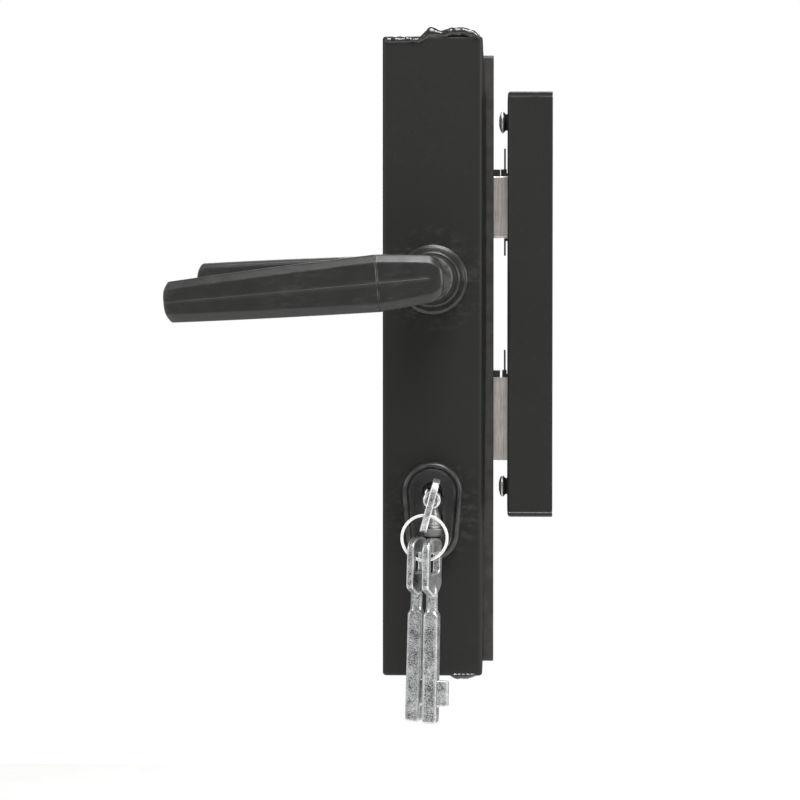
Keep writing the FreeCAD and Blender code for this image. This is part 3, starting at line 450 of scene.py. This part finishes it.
def grip_ring(x, droop, side, tall_in=0.0, deep_in=0.0, bulge=0.0):
    """Section of the grip: flat outer face with broad bevels above and below, round inner corners."""
    tall, deep = grip_size(x)
    tall, deep = tall - tall_in, deep - deep_in
    broad, back = min(3.1, tall * 0.4), 2.6
    seam, seam_half = (0.09 if deep_in == 0 else 0.0), 0.16
    outline = rounded([(deep + seam, 0, 0), (deep, seam_half, 0), (deep, tall - broad, 1.5),
                       (deep - back, tall, 1.7), (-deep, tall, 3.4), (-deep, -tall, 3.4),
                       (deep - back, -tall, 1.7), (deep, -tall + broad, 1.5), (deep, -seam_half, 0)])
    angle = math.radians(droop)
    ring = []
    for depth, height in denser(outline):
        along = x + bulge * abs(height / tall) ** 3
        ring.append((along * math.cos(angle) - height * math.sin(angle), side * (FACE + GRIP_OUT + depth),
                     LEVER_Z + along * math.sin(angle) + height * math.cos(angle)))
    return ring


def make_lever(name, side, droop):
    """Moulded lever: grip with rounded heel, waist line and bowed tip, and a collared neck."""
    rings = []
    heel_round, heel_deep, heel_steps = 5.6, 2.2, 10
    for step in range(heel_steps, 0, -1):
        angle = math.pi / 2 * step / heel_steps
        taken = 1 - math.cos(angle)
        rings.append(grip_ring(HEEL - heel_round * (1 - math.sin(angle)), droop, side,
                               heel_round * taken, heel_deep * taken))
    groove, groove_half, shoulder, clear = 0.14, 0.1, 0.25, 0.6
    for x in (HEEL - heel_round, -5, -10, -15, -19, WAIST + clear, WAIST + shoulder):
        rings.append(grip_ring(x, droop, side))
    for x in (WAIST + groove_half, WAIST - groove_half):
        rings.append(grip_ring(x, droop, side, groove, groove))
    rings.append(grip_ring(WAIST - shoulder, droop, side))
    bow, lip, lip_steps, grip_steps = 2.0, 0.7, 4, 24
    for step in range(grip_steps + 1):
        share = step / grip_steps
        x = WAIST - clear + (TIP + lip - WAIST + clear) * share
        rings.append(grip_ring(x, droop, side, bulge=bow * share ** 6))
    for step in range(1, lip_steps + 1):
        angle = math.pi / 2 * step / lip_steps
        taken = lip * (1 - math.cos(angle))
        rings.append(grip_ring(TIP + lip - lip * math.sin(angle), droop, side, taken, taken, bow))
    tall, deep = grip_size(TIP)
    for shrink in (0.8, 0.6, 0.4, 0.2):
        rings.append(grip_ring(TIP, droop, side, lip + (tall - lip) * (1 - shrink),
                               lip + (deep - lip) * (1 - shrink), bow * shrink ** 2))
    grip = loft(rings)
    near, collar, far = FACE + 2.2, FACE + 14.0, FACE + GRIP_OUT
    profile = [(near, 0), (near, 8.2), (near + 0.4, 8.6), (collar, 8.6), (collar + 0.3, 9.3),
               (collar + 0.8, 9.7), (collar + 1.6, 9.8), (far - 9.8, 9.3), (far - 8.4, 8.9),
               (far - 4, 8.8), (far - 3, 8.2), (far - 3, 0)]
    neck = lathe(profile, Vector((0, 0, LEVER_Z)), Y_AXIS * side, 72)
    piece(name + "_moulded", joined(grip, neck), name)


# ---- rosettes, bushes and escutcheons -------------------------------------------------------------------

def turned(name, side, corner_list, corner_steps, steps):
    """Ring turned about the lever's axis, from (height off the box, radius, rounding) corners."""
    outline = rounded(corner_list, corner_steps)
    place = Vector((0, side * FACE, LEVER_Z))
    piece(name + "_turned", lathe(outline, place, Y_AXIS * side, steps, closed=True), name)


def make_rosette(name, side):
    """Cover rose with a rounded rim, a conical wall and a rounded nose."""
    bore, rim, nose = 9.66, 14, 10.5
    turned(name, side, [(0, bore, 0), (0, rim, 0), (1.7, rim, 0.9), (2.3, 12.7, 0.5), (9.4, 11.5, 2.6),
                        (nose, 10.6, 0.9), (nose, bore, 0.2)], 6, 128)


def make_bush(name, side):
    """Bearing bush with a rounded lip."""
    bore, outside, foot, lip = 8.68, 9.6, 0.5, 11.6
    turned(name, side, [(foot, bore, 0), (foot, outside, 0), (lip, outside, 0.35), (lip, bore, 0.25)], 4, 96)


def slot_outline(top, top_radius, low, low_radius, steps=40, side_steps=8):
    """Outline of two half circles joined by straight sides: (x, z) points."""
    points = []
    for way, first, second, first_radius, second_radius in ((1, top, low, top_radius, low_radius),
                                                            (-1, low, top, low_radius, top_radius)):
        for step in range(steps + 1):
            angle = math.pi * step / steps
            points.append((way * first_radius * math.cos(angle),
                           first + way * first_radius * math.sin(angle)))
        for step in range(1, side_steps):
            t = step / side_steps
            points.append((-way * (first_radius + (second_radius - first_radius) * t),
                           first + (second - first) * t))
    return points


def make_escutcheon(name, side):
    """Key plate: raised round rim, dished face, and a keyhole slot with rounded edges."""
    top_radius, low_radius, slot_radius = 12.0, 10.6, 4.2
    top = corners(name)[1].z - top_radius
    outer = (top, top_radius, top - 16.6, low_radius)
    slot = (top, slot_radius, top - 15.8, slot_radius)
    face = 5.4
    levels = [(0, 0.0), (0, 4.6), (0.1, 5.2), (0.4, 5.7), (0.85, 5.97), (1.2, 6.0), (1.55, 5.8), (1.8, 5.3),
              (2.0, 4.5), (2.3, 3.7), (3.0, 3.1), (4.2, 2.75), (face, 2.6)]
    rings = []
    for inset, height in levels:
        outline = slot_outline(outer[0], outer[1] - inset, outer[2], outer[3] - inset)
        rings.append([(x, side * (FACE + height), z) for x, z in outline])
    for share, height in ((0.8, 2.5), (0.93, 2.42), (1.0, 2.1), (1.0, 0.0)):
        start = (outer[0], outer[1] - face, outer[2], outer[3] - face)
        mixed = [a + (b - a) * share for a, b in zip(start, slot)]
        rings.append([(x, side * (FACE + height), z) for x, z in slot_outline(*mixed)])
    piece(name + "_dished", loft(rings, loop=True), name, smooth=50)


# ---- keyhole guide --------------------------------------------------------------------------------------

def make_guides():
    """Bright bell with stepped rings on a brass block, behind each keyhole."""
    profile = [(0, 0), (0, 2.9), (0.9, 2.9), (1.1, 2.4), (1.3, 2.4), (1.5, 3.0), (2.2, 3.0), (2.4, 2.6),
               (2.8, 2.6), (3.8, 2.5), (5.0, 2.2), (6.0, 1.8), (7.0, 1.45), (8.0, 1.2), (8.6, 1.0),
               (8.9, 0.7), (9.0, 0)]
    aside, behind_face = 1.0, 4.4
    for name, side in (("front_key_guide", -1), ("rear_key_guide", 1)):
        where = Vector((-side * aside, side * (FACE - behind_face), corners(name)[0].z))
        piece(name + "_bell", lathe(profile, where, Z_AXIS, 48), name)
    for name in ("front_ward_block", "rear_ward_block"):
        piece(name + "_edged", soften(from_node(name), 0.3), name)


# ---- keys and ring --------------------------------------------------------------------------------------

CAST_GRID = 0.25
SPARE_TURN = 13.5


def box_mesh(low, high):
    bm = bmesh.new()
    bmesh.ops.create_cube(bm, size=1)
    low, high = Vector(low) * MM, Vector(high) * MM
    for vert in bm.verts:
        vert.co = Vector([(low[i] + high[i]) / 2 + vert.co[i] * (high[i] - low[i]) for i in range(3)])
    return bm


def cut(bm, tool):
    """The mesh of one closed shape with another taken out of it."""
    tool_mesh = bpy.data.meshes.new("cutter")
    tool.to_mesh(tool_mesh)
    tool.free()
    cutter = bpy.data.objects.new("cutter", tool_mesh)
    bpy.context.scene.collection.objects.link(cutter)
    mesh = evaluated(bm, ("BOOLEAN", {"object": cutter, "operation": "DIFFERENCE", "solver": "EXACT"}))
    bpy.data.objects.remove(cutter)
    return mesh


def key_bow():
    """Flat handle of a key, domed on top and shouldered below, with a slot for the ring."""
    half_wide, half_thick, long, shift = 10.4, 1.4, 19.6, -1.0
    shoulder, foot = -long + 0.4, -long - 2.8
    outer = rounded([(-half_wide, -1.5, 5.0), (-3.5, 0, 8.0), (3.5, 0, 8.0), (half_wide, -1.5, 5.0),
                     (half_wide, shoulder, 2.6), (4.2, foot, 3.0), (-2.2, foot, 3.0),
                     (-half_wide, shoulder, 2.6)], 8)
    blank = loft([[(x, shift + y, z) for y, z in outer] for x in (-half_thick, half_thick)])
    soften(blank, 0.5, 3, 50)
    half_slot, slot_top, slot_bottom, slot_corner, through = 6.9, -5.8, -13.8, 1.6, 4
    slot = rounded([(-half_slot, slot_top, slot_corner), (half_slot, slot_top, slot_corner),
                    (half_slot, slot_bottom, slot_corner), (-half_slot, slot_bottom, slot_corner)], 8)
    bow = bmesh.new()
    bow.from_mesh(cut(blank, loft([[(x, shift + y, z) for y, z in slot] for x in (-through, through)])))
    return bow


def key_barrel():
    """Square barrel with rounded corners, narrowed towards the neck."""
    # (distance from the bow's top, half the width, corner radius)
    sections = ((27.6, 1.9, 1.6), (28.6, 2.3, 1.6), (29.6, 2.75, 1.3), (30.4, 2.92, 1.1), (71.7, 2.92, 1.1),
                (72.2, 2.8, 1.2), (72.5, 2.4, 1.2))
    rings = []
    for along, half, corner in sections:
        outline = rounded([(-half, -half, corner), (half, -half, corner), (half, half, corner),
                           (-half, half, corner)], 6)
        rings.append([(x, y, -along) for x, y in outline])
    return loft(rings)


def key_mesh():
    """Cast key hanging from z = 0: bow, thin neck, barrel and bit, all run together."""
    bow = key_bow()
    neck = lathe([(17.4, 0), (17.4, 1.2), (19.4, 2.0), (21.4, 2.3), (27.2, 2.3), (28.4, 2.5), (31, 2.6),
                  (31, 0)], Vector((0, 0, 0)), -Z_AXIS, 48)
    barrel = key_barrel()
    bit = soften(box_mesh((0, -1.2, -65.8), (7.1, 1.2, -55.6)), 0.45, 2)
    return evaluated(joined(bow, neck, barrel, bit),
                     ("REMESH", {"mode": "VOXEL", "voxel_size": CAST_GRID * MM, "use_smooth_shade": True}),
                     ("SMOOTH", {"factor": 0.5, "iterations": 3}))


def key_collar():
    """The round collar that closes the keyhole behind the neck of the key in the lock."""
    profile = [(29.2, 0), (29.2, 3.2), (29.5, 3.5), (31.5, 3.5), (31.5, 0)]
    return lathe(profile, Vector((0, 0, 0)), -Z_AXIS, 48)


def hung(place, lean, turn, axis):
    """A key's place: moved there, leant about y and turned about another axis, in degrees."""
    return (Matrix.Translation(Vector(place) * MM) @ Matrix.Rotation(math.radians(lean), 4, "Y")
            @ Matrix.Rotation(math.radians(turn), 4, axis))


def make_keys():
    """The key in the lock and two spare keys on the ring."""
    mesh = key_mesh()
    lock_axis = middle("front_bush").x
    places = {"lock_key": hung((lock_axis, -61.5, 71.5), 15, 90, "X"),
              "left_spare_key": hung((-5.0, -45.5, 57.9), 1.5, -SPARE_TURN, "Z"),
              "right_spare_key": hung((0.9, -52, 57.9), 0.8, -SPARE_TURN, "Z")}
    for name, place in places.items():
        key = bmesh.new()
        key.from_mesh(mesh)
        if name == "lock_key":
            key = joined(key, key_collar())
        key.transform(place)
        piece(name + "_cast", key, name, smooth=80, blunt=0.05)


def make_ring():
    """Split ring: a flattened wire wound almost twice round."""
    centre = middle("key_ring")
    radius, wide, thin, turns, steps = 8.8, 0.58, 0.28, 1.92, 160
    start, rise, corner = -0.6, 2.12 * thin, 0.8 * thin
    section = rounded([(-wide, -thin, corner), (wide, -thin, corner), (wide, thin, corner),
                       (-wide, thin, corner)], 3)
    rings = []
    for step in range(steps + 1):
        share = step / steps
        angle = start + 2 * math.pi * turns * share
        lift = (share - 0.5) * rise
        rings.append([(centre.x + (radius + across) * math.cos(angle), centre.y + lift + up,
                       centre.z + (radius + across) * math.sin(angle)) for across, up in section])
    piece("key_ring_split", loft(rings), "key_ring", smooth=60)


# ---- tube, bolts, screws and keep -----------------------------------------------------------------------

SEAM_LOW, SEAM_HIGH = corners("bottom_cap")[1].z, corners("top_cap")[0].z
SEAM_WEAR, SEAM_ROUND = 0.5, 1.0
LONGEST_SOFT_EDGE = 30


def unworn(made):
    """Takes the worn look off the ground seams at the two ends of the box."""
    wear = made.data.attributes["edge"].data
    for vert in made.data.vertices:
        if not SEAM_LOW + SEAM_WEAR < vert.co.z / MM < SEAM_HIGH - SEAM_WEAR:
            wear[vert.index].value = 0
    return made


def opening_edge(edge):
    """True for the edges of the box's openings, away from its ends."""
    return edge.calc_length() < LONGEST_SOFT_EDGE * MM and all(
        SEAM_LOW + SEAM_ROUND < vert.co.z / MM < SEAM_HIGH - SEAM_ROUND for vert in edge.verts)


def make_tube():
    """The lock box with softened openings, and caps welded flush and ground over."""
    box = soften(from_node("lock_box"), 0.25, wanted=opening_edge)
    even_shading(unworn(piece("lock_box_edged", box, "lock_box")))
    for name, rim in (("top_cap", corners("top_cap")[1].z), ("bottom_cap", corners("bottom_cap")[0].z)):
        cap = soften(from_node(name), 0.7, 3,
                     wanted=lambda edge: all(abs(vert.co.z / MM - rim) < 0.1 for vert in edge.verts))
        even_shading(unworn(piece(name + "_ground", cap, name)))


def make_bolts():
    for node in ("latch_bolt", "dead_bolt"):
        piece(node + "_machined", soften(from_node(node), 0.5, 3), node)


def make_keep_screws():
    """Bright pan heads on dark conical washers, either side of the keep's face."""
    head_low, head_high = corners("keep_screws")
    low, high = corners("keep_washers")
    washer_radius, head_radius, shank_radius = (high.y - low.y) / 2, 4.5, 2.4
    seat = low.x
    rise, shank, thick = seat - head_low.x, head_high.x - seat, high.x - seat
    head = [(0, 0), (0, head_radius - 0.1), (0.25, head_radius), (0.55, head_radius - 0.05),
            (rise * 0.62, head_radius - 1.0), (rise * 0.85, head_radius - 2.1), (rise * 0.97, 1.4),
            (rise * 0.6, 0.9), (rise * 0.6, 0)]
    cone = [(0.02, 2.5), (0.02, 4.3), (0.3, 4.3), (1.0, 3.4), (1.5, 3.2), (thick - 0.3, 3.3), (thick, 3.6),
            (thick, 2.5)]
    heads, cones = [], []
    for z in (low.z + washer_radius, high.z - washer_radius):
        where = Vector((seat, 0, z))
        heads.append(lathe(head, where, -X_AXIS, 64))
        heads.append(lathe([(-0.1, 0), (-0.1, shank_radius), (shank, shank_radius), (shank, 0)], where,
                           X_AXIS, 32))
        cones.append(lathe(cone, where, X_AXIS, 64, closed=True))
    piece("keep_screws_turned", joined(*heads), "keep_screws")
    piece("keep_washers_turned", joined(*cones), "keep_washers")


# ---- weld beads -----------------------------------------------------------------------------------------

def make_bead(name, skyline, front, deep, ripple, pitch):
    """Weld bead along x, run into the box's edge. The skyline has (x, outer z, inner z) points."""
    step_long, around, end_fade, ring_lean = 0.2, 30, 1.6, 0.25
    start, end = skyline[0][0], skyline[-1][0]
    count = int((end - start) / step_long)
    angles = [2 * math.pi * step / around for step in range(around)]
    rings = []
    for step in range(count + 1):
        x = start + (end - start) * step / count
        before, after = next((a, b) for a, b in zip(skyline, skyline[1:]) if x <= b[0] + 1e-9)
        t = (x - before[0]) / (after[0] - before[0])
        ease = 3 * t * t - 2 * t ** 3
        outer, inner = (before[i] + (after[i] - before[i]) * ease for i in (1, 2))
        margin = min(1.0, (x - start) / end_fade, (end - x) / end_fade)
        fade = math.sqrt(max(0.03, 1 - (1 - margin) ** 2))
        phase = (x / pitch) % 1.0
        unsteady = 1 + 0.1 * noise.noise(Vector((x * 0.4, 2.7, 1.1)))
        half_deep = deep * fade * (1 - ripple * phase ** 2) * unsteady
        half_tall = (outer - inner) / 2 * fade
        rings.append([(x - ring_lean * math.cos(angle), front + deep - half_deep * math.cos(angle),
                       (outer + inner) / 2 + half_tall * math.sin(angle)) for angle in angles])
    bm = loft(rings)
    shake(bm, 2.6, 0.3)
    shake(bm, 1.1, 0.1)
    for vert in bm.verts:
        vert.co.z = min(max(vert.co.z, cad_low.z), cad_high.z)
    piece(name + "_rippled", bm, name, smooth=70, paint=WET_PAINT, blunt=0.5)


def make_beads():
    """The bead that held the stile above, humped over its foot, and the short one below."""
    box_low, box_high = corners("lock_box")
    top, front = corners("top_cap")[1].z, box_low.y
    humps = [(box_low.x + 0.5, -0.1, -3.2), (-13, 0.25, -3.6), (-6, -0.1, -3.2), (-0.5, 3.9, -1.6),
             (3.7, 2.6, -1.2), (8, 3.7, -0.6), (12.2, 3.9, -0.4), (15.8, 2.9, -1.2),
             (box_high.x - 0.3, 0.4, -2.4)]
    make_bead("top_weld_bead", [(x, top + outer, top + inner) for x, outer, inner in humps],
              front - 0.7, deep=3.0, ripple=0.03, pitch=2.3)
    low, high = corners("bottom_weld_bead")
    make_bead("bottom_weld_bead", [(low.x + 0.3, -0.6, 1.8), (low.x + 4, -1.5, 1.4),
                                   ((low.x + high.x) / 2, -1.3, 1.6), (high.x - 0.3, -0.5, 1.6)],
              front - 0.5, deep=2.2, ripple=0.1, pitch=1.7)


# ---- build ----------------------------------------------------------------------------------------------

make_lever("front_lever", -1, 5.2)
make_lever("rear_lever", 1, 0.2)
for label, facing in (("front", -1), ("rear", 1)):
    make_rosette(label + "_rosette", facing)
    make_bush(label + "_bush", facing)
    make_escutcheon(label + "_escutcheon", facing)
make_guides()
make_keys()
make_ring()
make_bolts()
make_beads()
make_keep_screws()
make_tube()
for node, width in (("forend", 0.45), ("latch_guide", 0.3), ("bolt_guide", 0.3), ("keep_channel", 0.7),
                    ("latch_strike", 0.2), ("bolt_strike", 0.2), ("forend_screws", 0.2)):
    even_shading(piece(node + "_edged", soften(from_node(node), width), node))
for node in ("keep_top_plate", "keep_bottom_plate"):
    even_shading(piece(node + "_edged", soften(from_node(node), 1.1, 4), node, paint=WET_PAINT, blunt=0.5))
for node, carried in frame["nodes"].items():
    if not carried.hide_render:
        carried.data.materials.clear()
        carried.data.materials.append(MATERIALS[SLOT_OF[node]])


# ---- stage ----------------------------------------------------------------------------------------------

FLOOR_DROP, FLOOR_HALF = 0.18, 1.3
SOFT_LIGHT, SEEN_LIGHT = 0.38, 1.0
LAMPS = (("top_lamp", (0.3, -0.5, 1.3), 0.8, 30), ("left_lamp", (-1.3, -0.7, 0.5), 0.7, 8),
         ("right_lamp", (1.5, -0.3, 0.35), 0.6, 9), ("back_lamp", (0.2, 1.4, 0.9), 0.8, 10),
         ("front_lamp", (0.5, -1.8, 1.3), 0.8, 7))
CAMERA_AT, CAMERA_AIM = Vector((0.026, -1.22, 0.150)), Vector((-0.013, -0.020, 0.1108))


def make_floor():
    """Pale floor below the hanging lock, in metres like the rest of the stage."""
    n = Nodes("floor_paint")
    colour = n.mix(n.grain(60, 3), (0.80, 0.80, 0.79), (0.84, 0.84, 0.83))
    floor_paint = n.finish(colour, n.span(n.grain(20, 3), 0.3, 0.7, 0.55, 0.7), n.bump(n.grain(2, 2), 0.01))
    bm = bmesh.new()
    bmesh.ops.create_grid(bm, x_segments=8, y_segments=8, size=FLOOR_HALF)
    mesh = bpy.data.meshes.new("floor")
    bm.to_mesh(mesh)
    bm.free()
    floor = bpy.data.objects.new("floor", mesh)
    floor.location = (0, -0.3, cad_low.z - FLOOR_DROP)
    mesh.materials.append(floor_paint)
    bpy.context.scene.collection.objects.link(floor)


def make_surroundings():
    """White all round for the camera, and an even, softer light from it on the lock."""
    world = bpy.data.worlds.new("studio")
    bpy.context.scene.world = world
    world.use_nodes = True
    tree = world.node_tree
    background = tree.nodes["Background"]
    background.inputs["Color"].default_value = (1, 1, 1, 1)
    background.inputs["Strength"].default_value = SOFT_LIGHT
    seen = tree.nodes.new("ShaderNodeBackground")
    seen.inputs["Color"].default_value = (1, 1, 1, 1)
    seen.inputs["Strength"].default_value = SEEN_LIGHT
    path = tree.nodes.new("ShaderNodeLightPath")
    mixer = tree.nodes.new("ShaderNodeMixShader")
    tree.links.new(path.outputs["Is Camera Ray"], mixer.inputs["Fac"])
    tree.links.new(background.outputs[0], mixer.inputs[1])
    tree.links.new(seen.outputs[0], mixer.inputs[2])
    tree.links.new(mixer.outputs[0], tree.nodes["World Output"].inputs["Surface"])


def make_lamps():
    """Soft square lamps aimed at the middle of the lock."""
    centre = (cad_low + cad_high) / 2
    for label, offset, size, power in LAMPS:
        lamp = bpy.data.lights.new(label, "AREA")
        lamp.shape = "SQUARE"
        lamp.size = size
        lamp.energy = power
        holder = bpy.data.objects.new(label, lamp)
        holder.location = centre + Vector(offset)
        holder.rotation_mode = "QUATERNION"
        holder.rotation_quaternion = (-Vector(offset)).to_track_quat("-Z", "Y")
        bpy.context.scene.collection.objects.link(holder)


def make_camera():
    data = bpy.data.cameras.new("camera")
    data.lens = 135
    data.sensor_width = 36
    data.clip_start, data.clip_end = 0.05, 50
    camera = bpy.data.objects.new("camera", data)
    camera.location = CAMERA_AT
    camera.rotation_mode = "QUATERNION"
    camera.rotation_quaternion = (CAMERA_AIM - camera.location).to_track_quat("-Z", "Y")
    bpy.context.scene.collection.objects.link(camera)
    bpy.context.scene.camera = camera


bpy.context.scene.view_settings.view_transform = "Standard"
make_floor()
make_surroundings()
make_lamps()
make_camera()
